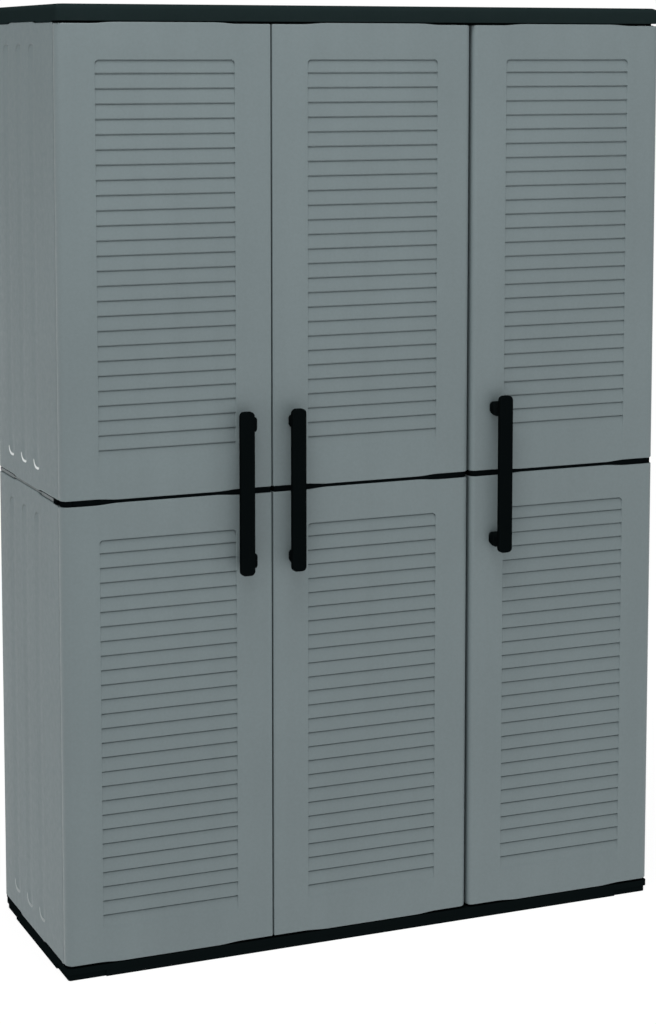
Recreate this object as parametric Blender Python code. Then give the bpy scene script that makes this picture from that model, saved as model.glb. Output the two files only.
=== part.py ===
"""Three-door plastic utility locker: panels that slot together between a base tray and a top cap.

Metres. X runs along the width, the doors face -Y and +Z is up. The origin is on the floor,
under the middle of the whole object with its handles.
"""

import math

import bmesh
import bpy
from mathutils import Matrix, Vector

# Overall size
WIDTH = 1.065
DEPTH = 0.3655  # door fronts to the back face
HEIGHT = 1.550
HANDLE_REACH = 0.0295  # door front to the front of a handle
HALF = WIDTH / 2
FRONT = HANDLE_REACH / 2 - DEPTH / 2
BACK = HANDLE_REACH / 2 + DEPTH / 2

# Gaps
FIT = 0.0003  # between pieces that touch
DOOR_END_GAP = 0.0015  # above and below each door
SEAM_LEFT = 0.0024  # between the left and the middle door
SEAM_RIGHT = 0.0038  # between the middle and the right door
BEHIND_DOOR = 0.0012  # between a door and the front edge of a side panel
SPLIT_DOOR = 0.0050  # between the two halves of a door
SPLIT_WALL = 0.0030  # between the two halves of a wall

# Base tray and top cap
PLINTH_TOP = 0.0205
CAP_LOW = 1.524
FLOOR_TOP = 0.050  # inside floor
CEILING = 1.500  # inside ceiling
FLANGE_LOW = 0.0105  # the plinth's upper half runs right round, flush with the doors
PLINTH_INSET = 0.0005
PLINTH_CORNER = 0.062  # length of the stretches beside a corner that are set back below the flange
PLINTH_STEP = 0.0028
CORNER_R = 0.006
SOCKET_DEPTH = 0.012

# Walls
WALL_T = 0.026
SKIN = 0.0024
WEB = 0.0020
BACK_T = 0.0125
PARTITION_T = 0.022
MID = (PLINTH_TOP + DOOR_END_GAP + CAP_LOW - DOOR_END_GAP) / 2  # level of the split
FLUTE_W = 0.038
FLUTE_DEPTH = 0.003
FLUTE_END = 0.034  # from a flute's end to the end of its panel
FLUTES_FROM_FRONT = (0.137, 0.211, 0.286)
RELIEF = 0.0023  # how far a panel's edge steps back near its ends
WALL_RELIEF = (0.088, 0.018)  # the length of that step back, and of the slope beside it
DOOR_RELIEF = (0.055, 0.040)
JOINER_INSET = 0.0012  # from a side's outer face to the strip in its split
JOINER_GAP = 0.0012  # above and below that strip where the split is wide
NOTCH_L = 0.018  # the notch at a side's front edge that the hinge arm fills
NOTCH_H = 0.005

# Doors
DOOR_T = 0.028
DOOR_W = (WIDTH - SEAM_LEFT - SEAM_RIGHT) / 3
PIVOT_IN = 0.014  # hinge axis from the door's outer edge and from its front
HINGE_FRONT_R = 0.010
LOUVRE_SIDE = 0.061  # border beside the louvres
LOUVRE_TOP = 0.058
LOUVRE_PITCH = 0.02355
LOUVRE_FIRST = 0.0205
LOUVRE_LAST = 0.0216
LOUVRES = 27
LOUVRE_DEEP = 0.0043
LOUVRE_LIP = 0.0003
TONGUE_T = 0.0034
TONGUE_H = 0.0045
PIN_R = 0.005
MID_PIN_R = 0.0035
PIN_CLEARANCE = 0.0006
PIN_IN_DOOR = 0.022
ARM_T = 0.007
ARM_W = 0.016
EYE_R = 0.0125  # the arm's round end, which fills the door's corner
EYE_T = 0.0088
RAIL_INSET = 0.001  # from the door's faces to the rail between its halves
RAIL_LIP = 0.0008  # the rail's thinnest end, in front of the eye

# Handles
BAR_W = 0.024
BAR_T = 0.0105
BAR_L = 0.266
BAR_CORNER_R = 0.0075
POST_W = 0.024
POST_H = 0.025
POST_CORNER = 0.005
POST_FROM_END = 0.022
SCREW_R = 0.0020
SCREW_HEAD_R = 0.0042

# Shelves
SHELF_T = 0.022
SHELF_TOPS = (0.405, 0.735, 1.105)
HAT_SHELF_TOP = 1.105
SHELF_FRONT = -0.125
SHELF_BACK = BACK - BACK_T - 0.0045
LEDGE_W = 0.008
LEDGE_H = 0.010

GREY = (0.195, 0.225, 0.232, 1.0)
SHADOW_GREY = (0.150, 0.175, 0.180, 1.0)
BLACK = (0.012, 0.016, 0.017, 1.0)
STEEL = (0.55, 0.56, 0.57, 1.0)


# Shapes. A solid is a pair: its points and its faces.


def prism(outline, low, high, along):
    """A closed outline pushed along an axis. The outline's two values are the other two axes."""
    place = {
        "X": lambda a, b, c: (c, a, b),
        "Y": lambda a, b, c: (a, c, b),
        "Z": lambda a, b, c: (a, b, c),
    }[along]
    count = len(outline)
    points = [place(a, b, low) for a, b in outline] + [place(a, b, high) for a, b in outline]
    sides = [(i, (i + 1) % count, count + (i + 1) % count, count + i) for i in range(count)]
    return points, [tuple(range(count)), tuple(range(count, 2 * count))] + sides


def box(x, y, z):
    """A box from three pairs of limits, in any order."""
    x, y = sorted(x), sorted(y)
    return prism([(x[0], y[0]), (x[1], y[0]), (x[1], y[1]), (x[0], y[1])], *sorted(z), "Z")


def arc(centre, radius, start, end, steps):
    """Points on an arc, with its angles in degrees."""
    angles = [math.radians(start + (end - start) * i / steps) for i in range(steps + 1)]
    return [(centre[0] + radius * math.cos(a), centre[1] + radius * math.sin(a)) for a in angles]


def cylinder(centre, radius, low, high, along="Z", sides=24):
    return prism(arc(centre, radius, 0, 360 - 360 / sides, sides - 1), low, high, along)


def rounded(width, height, radius, steps=5):
    """A rectangle about the origin with four round corners."""
    a, b = width / 2 - radius, height / 2 - radius
    corners = ((a, b, 0), (-a, b, 90), (-a, -b, 180), (a, -b, 270))
    return [p for x, y, start in corners for p in arc((x, y), radius, start, start + 90, steps)]


def shifted(outline, a, b):
    return [(p[0] + a, p[1] + b) for p in outline]


def mesh_from(name, solids):
    """One mesh that holds one or more solids, with every face pointing out."""
    shape = bmesh.new()
    for points, faces in solids:
        vertices = [shape.verts.new(p) for p in points]
        for face in faces:
            shape.faces.new([vertices[i] for i in face])
    bmesh.ops.recalc_face_normals(shape, faces=shape.faces)
    mesh = bpy.data.meshes.new(name)
    shape.to_mesh(mesh)
    shape.free()
    return mesh


# Objects


def material(name, colour, roughness, metallic=0.0):
    made = bpy.data.materials.new(name)
    made.use_nodes = True
    shader = made.node_tree.nodes["Principled BSDF"]
    shader.inputs["Base Color"].default_value = colour
    shader.inputs["Roughness"].default_value = roughness
    shader.inputs["Metallic"].default_value = metallic
    made.diffuse_color = colour
    return made


def helper(name, solids):
    """A hidden object that another object adds or cuts away."""
    made = bpy.data.objects.new(name, mesh_from(name, solids))
    bpy.context.scene.collection.objects.link(made)
    made.hide_render = True
    made.display_type = "WIRE"
    return made


def piece(name, solid, look, pivot=None, add=(), cut=(), then_add=()):
    """One sub-part: a solid, with others added to it, others cut from it, and the last ones added."""
    made = bpy.data.objects.new(name, mesh_from(name, [solid]))
    bpy.context.scene.collection.objects.link(made)
    made.data.materials.append(look)
    tools = [made]
    changes = {"add": ("UNION", add), "cut": ("DIFFERENCE", cut), "then_add": ("UNION", then_add)}
    for step, (operation, solids) in changes.items():
        if solids:
            tool = helper(f"{name}_{step}", solids)
            change = made.modifiers.new(step, "BOOLEAN")
            change.operation = operation
            change.solver = "EXACT"
            change.object = tool
            change.use_self = True  # the solids in one tool may overlap
            tools.append(tool)
    for each in tools if pivot else ():
        each.parent = pivot
        each.matrix_parent_inverse = Matrix.Translation(-pivot.location)
    return made


def round_shading(made, angle=35):
    made.data.shade_smooth()
    made.data.set_sharp_from_angle(angle=math.radians(angle))


# Walls, in their own axes: w along the wall's width, t through its thickness


def edge_reliefs(sizes, w_low, w_high, z_low, z_high, t_low, t_high, along):
    """The wedges that set a panel's top and bottom edges back near its ends."""
    flat, slope = sizes
    run = flat + slope * (RELIEF + 0.001) / RELIEF
    wedges = []
    for end, inward in ((w_low, 1), (w_high, -1)):
        for edge, outward in ((z_low, -1), (z_high, 1)):
            outline = [
                (end - inward * 0.001, edge + outward * 0.001),
                (end - inward * 0.001, edge - outward * RELIEF),
                (end + inward * flat, edge - outward * RELIEF),
                (end + inward * run, edge + outward * 0.001),
            ]
            wedges.append(prism(outline, t_low - 0.001, t_high + 0.001, along))
    return wedges


def turned(w, t, along):
    """Box limits for X and Y from limits along and through a wall."""
    return (t, w) if along == "X" else (w, t)


def split_evenly(low, high, count, web):
    size = (high - low - web * (count - 1)) / count
    return [(low + i * (size + web), low + i * (size + web) + size) for i in range(count)]


def hollow_wall(name, w, inner, outer, z, along, flutes, look, ledges=(), notches=()):
    """A twin-skin wall, hollow from end to end, with round-ended flutes in its outer face."""
    side = 1 if outer > inner else -1
    half = FLUTE_W / 2
    marks = [w[0]] + [f + s * half for f in flutes for s in (-1, 1)] + [w[1]]
    cells = []
    for i, (low, high) in enumerate(zip(marks, marks[1:])):
        fluted = i % 2 == 1
        start = low + (SKIN if i == 0 else WEB)
        end = high - (SKIN if i == len(marks) - 2 else 0.0)
        skin = SKIN + (FLUTE_DEPTH if fluted else 0.0)
        count = 1 if fluted else max(1, round((end - start) / 0.045))
        for cell in split_evenly(start, end, count, WEB):
            t = (inner + side * SKIN, outer - side * skin)
            cells.append(box(*turned(cell, t, along), (z[0] - 0.001, z[1] + 0.001)))
    grooves = []
    for flute in flutes:
        low, high = z[0] + FLUTE_END + half, z[1] - FLUTE_END - half
        outline = arc((flute, high), half, 0, 180, 6) + arc((flute, low), half, 180, 360, 6)
        limits = sorted((outer - side * FLUTE_DEPTH, outer + side * 0.001))
        grooves.append(prism(outline, *limits, along))
    reliefs = edge_reliefs(WALL_RELIEF, *w, *z, *sorted((inner, outer)), along)
    body = box(*turned(w, (inner, outer), along), z)
    return piece(name, body, look, add=ledges, cut=cells + grooves + reliefs + list(notches))


def joiner(name, w, inner, outer, along, tongues, look, blocks=()):
    """The strip between two halves of a wall, with tongues up and down into its hollows."""
    height = SPLIT_WALL / 2 - FIT
    web = box(*turned(w, (inner, outer), along), (MID - height, MID + height))
    side = 1 if outer > inner else -1
    middle = inner + side * (SKIN + FIT + 0.0015)
    t = (middle - side * 0.0012, middle + side * 0.0012)
    parts = [box(*turned(pair, t, along), (MID - 0.016, MID + 0.016)) for pair in tongues]
    return piece(name, web, look, add=parts + list(blocks))


def joiner_blocks(way, front_edge, arm_clear):
    """The taller ends of a side's joiner. The front one runs on as a thin strip past the arm."""
    face, inner = way * (HALF - JOINER_INSET), way * (HALF - WALL_T + 0.0002)
    reach = RELIEF + SPLIT_WALL / 2 - JOINER_GAP
    z = (MID - reach, MID + reach)
    flat = WALL_RELIEF[0] - 0.002
    strip = box((face, face - way * 0.0024), (front_edge + NOTCH_L + 0.0005, arm_clear + 0.001), z)
    front = box((inner, face), (arm_clear, front_edge + flat), z)
    rear = box((inner, face), (BACK - flat, BACK - 2 * FIT), z)
    return [strip, front, rear]


def ledge(face, inward, y, top):
    """A rail on a wall's inside, for the end of a shelf to rest on."""
    overlap = 0.001
    return box((face - inward * overlap, face + inward * LEDGE_W), y, (top - LEDGE_H, top))


def shelf(name, x, top, look):
    """A tray upside down: a flat top with a rim and ribs under it."""
    y = (SHELF_FRONT, SHELF_BACK)
    columns = split_evenly(x[0] + SKIN, x[1] - SKIN, round((x[1] - x[0]) / 0.115), WEB)
    rows = split_evenly(y[0] + SKIN, y[1] - SKIN, 3, WEB)
    z = (top - SHELF_T - 0.001, top - SKIN)
    pockets = [box(column, row, z) for column in columns for row in rows]
    return piece(name, box(x, y, (top - SHELF_T, top)), look, cut=pockets)


# Base and cap


def relief_fills(level, way):
    """Blocks on the base or the cap that fill the steps back in the side panels' edges."""
    flat = WALL_RELIEF[0] - 0.002
    front_edge = FRONT + DOOR_T + BEHIND_DOOR
    x = (HALF - WALL_T - 0.001, HALF - 0.001)
    z = (level - way * 0.001, level + way * RELIEF)
    spans = ((front_edge + FIT, front_edge + flat), (BACK - flat, BACK - 0.001))
    return [box((side * x[0], side * x[1]), y, z) for side in (-1, 1) for y in spans]


def plinth_outline():
    """The base's lower half: long straight stretches with set-back, blunted corners."""
    inset = PLINTH_INSET + FIT
    x_out, y_front, y_back = HALF - inset, FRONT + inset, BACK - inset
    x_in, step = x_out - PLINTH_STEP, PLINTH_STEP
    run = PLINTH_CORNER
    right = [
        (x_in - run, y_front),
        (x_in - run, y_front + step),
        (x_in - step, y_front + step),
        (x_in, y_front + 2 * step),
        (x_in, y_front + run),
        (x_out, y_front + run),
        (x_out, y_back - run),
        (x_in, y_back - run),
        (x_in, y_back - step),
        (x_in - step, y_back),
    ]
    return right + [(-x, y) for x, y in reversed(right)]


def pockets_below(x, y, z, columns, rows):
    across = split_evenly(*x, columns, WEB * 2)
    deep = split_evenly(*y, rows, WEB * 2)
    return [box(column, row, z) for column in across for row in deep]


def block_limits():
    """The limits of the raised block that base and cap carry between the walls."""
    side = HALF - WALL_T - FIT
    return (-side, side), (FRONT + DOOR_T + 0.001, BACK - BACK_T - FIT)


def base_tray(look, hinges):
    x, y = block_limits()
    raised = box(x, y, (PLINTH_TOP - 0.001, FLOOR_TOP))
    rim = 0.006
    inside = ((x[0] + rim, x[1] - rim), (y[0] + rim, y[1] - rim))
    pockets = pockets_below(*inside, (-0.001, FLOOR_TOP - SKIN), 9, 3)
    sockets = [
        cylinder(h, PIN_R + PIN_CLEARANCE, PLINTH_TOP - SOCKET_DEPTH, PLINTH_TOP + 0.001)
        for h in hinges
    ]
    plan = rounded(WIDTH - 2 * PLINTH_INSET, DEPTH - 2 * PLINTH_INSET, CORNER_R)
    flange = prism(shifted(plan, 0.0, (FRONT + BACK) / 2), FLANGE_LOW, PLINTH_TOP, "Z")
    body = prism(plinth_outline(), 0.0, FLANGE_LOW + 0.001, "Z")
    add = [flange, raised] + relief_fills(PLINTH_TOP, 1)
    return piece("base_tray", body, look, add=add, cut=pockets + sockets)


def top_cap(look, hinges):
    """The lid: a round-cornered slab with a ribbed block that hangs between the walls."""
    x, y = block_limits()
    hung = box(x, y, (CEILING, CAP_LOW + 0.001))
    rim = 0.006
    inside = ((x[0] + rim, x[1] - rim), (y[0] + rim, y[1] - rim))
    pockets = pockets_below(*inside, (CEILING - 0.001, HEIGHT - SKIN * 1.5), 9, 3)
    sockets = [
        cylinder(h, PIN_R + PIN_CLEARANCE, CAP_LOW - 0.001, CAP_LOW + SOCKET_DEPTH) for h in hinges
    ]
    outline = shifted(rounded(WIDTH, DEPTH, CORNER_R), 0.0, (FRONT + BACK) / 2)
    body = prism(outline, CAP_LOW, HEIGHT, "Z")
    add = [hung] + relief_fills(CAP_LOW, -1)
    return piece("top_cap", body, look, add=add, cut=pockets + sockets)


# Doors


def door_outline(hinge_x, way, free_r):
    """The door's plan. The hinge edge is round about the axis, so that it turns in place."""
    axis_y = FRONT + PIVOT_IN
    rear = FRONT + DOOR_T
    local = arc((PIVOT_IN, axis_y), PIVOT_IN, 180, 90, 7)
    local += [(DOOR_W - 0.001, rear), (DOOR_W, rear - 0.001)]
    local += arc((DOOR_W - free_r, FRONT + free_r), free_r, 0, -90, 4)
    centre = (HINGE_FRONT_R, FRONT + HINGE_FRONT_R)
    local += arc(centre, HINGE_FRONT_R, 270, 180, 6)
    return [(hinge_x + way * u, y) for u, y in local]


def louvre_cutter(x, z_top):
    """Everything in front of the slats: each slat leans out from its top to its bottom lip."""
    outline = [(FRONT - 0.005, z_top - LOUVRE_TOP)]
    level = z_top - LOUVRE_TOP
    for i in range(LOUVRES):
        drop = {0: LOUVRE_FIRST, LOUVRES - 1: LOUVRE_LAST}.get(i, LOUVRE_PITCH)
        outline.append((FRONT + LOUVRE_DEEP, level))
        level -= drop
        outline.append((FRONT + LOUVRE_LIP, level))
    outline.append((FRONT - 0.005, level))
    return prism(outline, *sorted(x), "X")


def door_panel(name, door, z, split_at_top, pivot, look):
    """Half a door: a louvred skin with a rim, ribs and a solid round stile on the hinge side."""
    hinge_x, way = door["hinge_x"], door["way"]
    rear = FRONT + DOOR_T
    rim = 0.0026

    def span(low, high):
        return tuple(sorted((hinge_x + way * low, hinge_x + way * high)))

    free_border = (DOOR_W - LOUVRE_SIDE + WEB, DOOR_W - rim)
    columns = [(span(PIVOT_IN, LOUVRE_SIDE - WEB), FRONT + rim)]
    columns += [(span(low, high), FRONT + LOUVRE_DEEP + 0.0022)
                for low, high in split_evenly(LOUVRE_SIDE, DOOR_W - LOUVRE_SIDE, 2, WEB)]
    columns += [(span(*free_border), FRONT + rim)]
    split_rim, outer_rim = 0.009, 0.030
    ends = (outer_rim, split_rim) if split_at_top else (split_rim, outer_rim)
    rows = split_evenly(z[0] + ends[0], z[1] - ends[1], 5, WEB)
    cut = [box(x, (y, rear + 0.001), row) for x, y in columns for row in rows]
    cut.append(louvre_cutter(span(LOUVRE_SIDE, DOOR_W - LOUVRE_SIDE), z[1]))
    cut += edge_reliefs(DOOR_RELIEF, *span(0.0, DOOR_W), *z, FRONT, rear, "Y")

    axis = (door["axis_x"], FRONT + PIVOT_IN)
    split_z = z[1] if split_at_top else z[0]
    outer_z = z[0] if split_at_top else z[1]
    inward = -1 if split_at_top else 1
    for end, step, radius in ((split_z, inward, MID_PIN_R), (outer_z, -inward, PIN_R)):
        limits = sorted((end - step * 0.001, end + step * (PIN_IN_DOOR + 0.001)))
        cut.append(cylinder(axis, radius + FIT, *limits))

    groove_t = TONGUE_T / 2 + FIT
    groove = (split_z - inward * 0.001, split_z + inward * (TONGUE_H + FIT * 2))
    middle = FRONT + DOOR_T / 2
    cut.append(box(span(0.110, DOOR_W - 0.110), (middle - groove_t, middle + groove_t), groove))

    screw_z = MID - BAR_L / 2 + POST_FROM_END if split_at_top else MID + BAR_L / 2 - POST_FROM_END
    cut.append(cylinder((door["post_x"], screw_z), SCREW_R + FIT, FRONT - 0.001, FRONT + 0.004,
                        "Y", 12))
    outline = door_outline(hinge_x, way, door["free_r"])
    return piece(name, prism(outline, *z, "Z"), look, pivot, cut=cut)


def split_rail(name, door, pivot, look):
    """The black strip between the halves: hollowed round the hinge eye, and thinner in its middle."""
    hinge_x, way = door["hinge_x"], door["way"]
    thin, thick = SPLIT_DOOR / 2 - FIT, SPLIT_DOOR / 2 + RELIEF - FIT
    front, rear = FRONT + RAIL_INSET, FRONT + DOOR_T - RAIL_INSET
    axis_y = FRONT + PIVOT_IN
    hollow_r = EYE_R + PIN_CLEARANCE
    past_arm = PIVOT_IN + ARM_W / 2 + 0.001
    first = -math.degrees(math.asin((PIVOT_IN - RAIL_INSET - RAIL_LIP) / hollow_r))
    last = math.degrees(math.acos((past_arm - PIVOT_IN) / hollow_r))
    end, round_r = DOOR_W - 0.002, max(door["free_r"] - RAIL_INSET, 0.001)
    plan = arc((PIVOT_IN, axis_y), hollow_r, first, last, 8)
    lip_at = (plan[0][0], front)
    plan += [(past_arm, rear), (end, rear)]
    plan += arc((end - round_r, front + round_r), round_r, 0, -90, 3)
    plan.append(lip_at)
    body = prism([(hinge_x + way * u, y) for u, y in plan], MID - thick, MID + thick, "Z")

    flat, slope = DOOR_RELIEF
    thinning = []
    for side in (-1, 1):
        outline = [
            (flat, MID + side * thick),
            (flat, MID + side * (thick + 0.001)),
            (DOOR_W - flat, MID + side * (thick + 0.001)),
            (DOOR_W - flat, MID + side * thick),
            (DOOR_W - flat - slope, MID + side * thin),
            (flat + slope, MID + side * thin),
        ]
        outline = [(hinge_x + way * u, z) for u, z in outline]
        thinning.append(prism(outline, front - 0.001, rear + 0.001, "Y"))

    middle = FRONT + DOOR_T / 2
    reach = SPLIT_DOOR / 2 + TONGUE_H
    tongue = box(
        (hinge_x + way * 0.112, hinge_x + way * (DOOR_W - 0.112)),
        (middle - TONGUE_T / 2, middle + TONGUE_T / 2),
        (MID - reach, MID + reach),
    )
    return piece(name, body, look, pivot, cut=thinning, then_add=[tongue])


def handle(prefix, door, pivot, black, steel):
    """A flat bar on two posts, each held by a screw from inside the door."""
    front = FRONT - HANDLE_REACH
    outline = shifted(rounded(BAR_W, BAR_L, BAR_CORNER_R), door["bar_x"], MID)
    bar = piece(f"{prefix}_handle_bar", prism(outline, front, front + BAR_T, "Y"), black, pivot)
    bevel = bar.modifiers.new("edge", "BEVEL")
    bevel.width = 0.0012
    bevel.segments = 1
    bevel.limit_method = "ANGLE"
    round_shading(bar)
    for level, sign in (("lower", -1), ("upper", 1)):
        z = MID + sign * (BAR_L / 2 - POST_FROM_END)
        plan = shifted(rounded(POST_W, POST_H, POST_CORNER, 2), door["post_x"], z)
        post = prism(plan, front + BAR_T + FIT, FRONT - FIT, "Y")
        hole = cylinder((door["post_x"], z), SCREW_R + FIT, FRONT - 0.014, FRONT + 0.001, "Y", 12)
        piece(f"{prefix}_handle_post_{level}", post, black, pivot, cut=[hole])
        shank = cylinder((door["post_x"], z), SCREW_R, FRONT - 0.013, FRONT + 0.003, "Y", 12)
        head = cylinder((door["post_x"], z), SCREW_HEAD_R, FRONT + 0.0029, FRONT + 0.0055, "Y", 16)
        piece(f"{prefix}_handle_screw_{level}", shank, steel, pivot, add=[head])


def pivot_pins(prefix, door, pivot, look):
    """The three pins that a door turns on: in the base, between the halves and in the cap."""
    axis = (door["axis_x"], FRONT + PIVOT_IN)
    low, high = PLINTH_TOP + DOOR_END_GAP, CAP_LOW - DOOR_END_GAP
    reach = SOCKET_DEPTH - 0.002
    spans = {
        "bottom": (PIN_R, PLINTH_TOP - reach, low + PIN_IN_DOOR),
        "middle": (MID_PIN_R, MID - SPLIT_DOOR / 2 - PIN_IN_DOOR,
                   MID + SPLIT_DOOR / 2 + PIN_IN_DOOR),
        "top": (PIN_R, high - PIN_IN_DOOR, CAP_LOW + reach),
    }
    for place, (radius, start, end) in spans.items():
        pin = piece(f"{prefix}_pivot_{place}", cylinder(axis, radius, start, end), look, pivot)
        round_shading(pin)


def hinge_arm(name, axis_x, root_x, look, lugs=()):
    """A flat arm from the split in a wall to a thick round eye on the door's middle pin."""
    axis = (axis_x, FRONT + PIVOT_IN)
    root_y = FRONT + DOOR_T + 0.040
    half = ARM_W / 2
    outline = [(axis_x - half, axis[1]), (axis_x + half, axis[1]), (root_x[1], root_y), (root_x[0], root_y)]
    eye = cylinder(axis, EYE_R, MID - EYE_T / 2, MID + EYE_T / 2, sides=48)
    hole = cylinder(axis, MID_PIN_R + PIN_CLEARANCE, MID - EYE_T, MID + EYE_T)
    neck = prism(outline, MID - ARM_T / 2, MID + ARM_T / 2, "Z")
    return piece(name, neck, look, add=[eye, *lugs], cut=[hole])


def door(prefix, plan, looks):
    """All the pieces of one door, under an empty on its hinge axis."""
    pivot = bpy.data.objects.new(f"{prefix}_hinge_axis", None)
    pivot.location = Vector((plan["axis_x"], FRONT + PIVOT_IN, MID))
    bpy.context.scene.collection.objects.link(pivot)
    lower = (PLINTH_TOP + DOOR_END_GAP, MID - SPLIT_DOOR / 2)
    upper = (MID + SPLIT_DOOR / 2, CAP_LOW - DOOR_END_GAP)
    door_panel(f"{prefix}_panel_lower", plan, lower, True, pivot, looks["grey"])
    door_panel(f"{prefix}_panel_upper", plan, upper, False, pivot, looks["grey"])
    split_rail(f"{prefix}_split_rail", plan, pivot, looks["black"])
    handle(prefix, plan, pivot, looks["black"], looks["steel"])
    pivot_pins(prefix, plan, pivot, looks["black"])


def door_plans():
    """Each door's hinge, the way it runs from there, its free edge's radius and its handle."""
    left_edge = -HALF
    middle_edge = -HALF + DOOR_W + SEAM_LEFT + DOOR_W
    right_edge = HALF
    seams = (-HALF + DOOR_W + SEAM_LEFT / 2, middle_edge + SEAM_RIGHT / 2)
    rows = (
        ("door_left", left_edge, 1, 0.002, seams[0] - 0.053, 0.0074),
        ("door_middle", middle_edge, -1, 0.002, seams[0] + 0.036, 0.0024),
        ("door_right", right_edge, -1, 0.009, seams[1] + 0.054, -0.0074),
    )
    return {
        name: {
            "hinge_x": edge,
            "way": way,
            "axis_x": edge + way * PIVOT_IN,
            "free_r": free_r,
            "bar_x": bar_x,
            "post_x": bar_x + post_shift,
        }
        for name, edge, way, free_r, bar_x, post_shift in rows
    }


def walls(looks, plans):
    """Sides, back, partition and the strips that join their halves."""
    grey, shadow, black = looks["grey"], looks["shadow"], looks["black"]
    lower = (PLINTH_TOP + FIT, MID - SPLIT_WALL / 2)
    upper = (MID + SPLIT_WALL / 2, CAP_LOW - FIT)
    levels = (("lower", lower), ("upper", upper))
    front_edge = FRONT + DOOR_T + BEHIND_DOOR
    flutes = [FRONT + distance for distance in FLUTES_FROM_FRONT]
    ledge_y = (SHELF_FRONT + 0.010, SHELF_BACK - 0.010)
    rests = [top - SHELF_T - FIT for top in SHELF_TOPS]
    hat_rest = HAT_SHELF_TOP - SHELF_T - FIT

    def within(heights, z):
        return [height for height in heights if z[0] < height < z[1]]

    tongue_y = ((flutes[0] - 0.014, flutes[0] + 0.014), (flutes[2] - 0.014, flutes[2] + 0.014))
    arm_clear = front_edge + 0.043
    for side, way in (("left", -1), ("right", 1)):
        inner, outer = way * (HALF - WALL_T), way * HALF
        heights = rests if side == "left" else [hat_rest]
        notch = box((inner - way * 0.001, outer + way * 0.001),
                    (front_edge - 0.001, front_edge + NOTCH_L), (MID - NOTCH_H, MID + NOTCH_H))
        for level, z in levels:
            rails = [ledge(inner, -way, ledge_y, height) for height in within(heights, z)]
            hollow_wall(f"side_panel_{side}_{level}", (front_edge, BACK), inner, outer, z, "X",
                        flutes, grey, rails, [notch])
        joiner(f"side_joiner_{side}", (arm_clear, BACK - FIT), inner, outer - way * JOINER_INSET, "X",
               tongue_y, shadow, joiner_blocks(way, front_edge, arm_clear))
        axis_x = plans[f"door_{side}"]["axis_x"]
        lug_z = (MID - NOTCH_H + 0.0005, MID + NOTCH_H - 0.0005)
        lug = box((axis_x, outer - way * 0.0005), (front_edge + FIT, front_edge + NOTCH_L - 0.0005), lug_z)
        root_x = (axis_x - ARM_W / 2, axis_x + ARM_W / 2)
        hinge_arm(f"hinge_arm_{side}", axis_x, root_x, black, [lug])

    middle = plans["door_middle"]
    post_left = middle["axis_x"] + 0.0028
    post_right = post_left + PARTITION_T
    deep = (front_edge, BACK - BACK_T - 0.0015)
    post_z = (("lower", (FLOOR_TOP + FIT, lower[1])), ("upper", (upper[0], CEILING - FIT)))
    for level, z in post_z:
        rails = [ledge(post_left, -1, ledge_y, height) for height in within(rests, z)]
        rails += [ledge(post_right, 1, ledge_y, height) for height in within([hat_rest], z)]
        hollow_wall(f"partition_{level}", deep, post_left, post_right, z, "X", (), grey, rails)
    joiner("partition_joiner", (arm_clear, deep[1]), post_left, post_right, "X", (), shadow)
    hinge_arm("hinge_arm_middle", middle["axis_x"], (post_left + 0.001, post_left + 0.017), black)

    edges = (-HALF + WALL_T + FIT, -HALF + DOOR_W, HALF - DOOR_W, HALF - WALL_T - FIT)
    inner, outer = BACK - BACK_T, BACK
    for column, (low, high) in zip(("left", "middle", "right"), zip(edges, edges[1:])):
        w = (low + FIT, high - FIT)
        centre = (low + high) / 2
        grooves = [centre + step * 0.080 for step in (-1, 0, 1)]
        for level, z in levels:
            hollow_wall(f"back_panel_{column}_{level}", w, inner, outer, z, "Y", grooves, grey)
    joiner("back_joiner", (edges[0] + FIT, edges[3] - FIT), inner, outer - 0.002, "Y", (), shadow)
    strip = box((edges[1] - 0.012, edges[1] + 0.012), (inner - 0.0035, inner - FIT),
                (FLOOR_TOP + FIT, CEILING - FIT))
    piece("back_strip", strip, grey)
    return post_left, post_right


def clear_scene():
    for thing in list(bpy.data.objects):
        bpy.data.objects.remove(thing, do_unlink=True)


def main():
    clear_scene()
    looks = {
        "grey": material("grey_plastic", GREY, 0.45),
        "shadow": material("joint_plastic", SHADOW_GREY, 0.50),
        "black": material("black_plastic", BLACK, 0.40),
        "steel": material("screw_steel", STEEL, 0.35, 1.0),
    }
    plans = door_plans()
    hinges = [(plan["axis_x"], FRONT + PIVOT_IN) for plan in plans.values()]
    base_tray(looks["black"], hinges)
    top_cap(looks["black"], hinges)
    post_left, post_right = walls(looks, plans)
    side = HALF - WALL_T - 0.001
    for number, top in enumerate(SHELF_TOPS, start=1):
        shelf(f"shelf_wide_{number}", (-side, post_left - 0.001), top, looks["grey"])
    shelf("shelf_hat", (post_right + 0.001, side), HAT_SHELF_TOP, looks["grey"])
    for name, plan in plans.items():
        door(name, plan, looks)


main()
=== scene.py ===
"""Looks of a three-door plastic utility locker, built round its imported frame. Metres, +Z up."""

import math
from bisect import bisect

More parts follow.
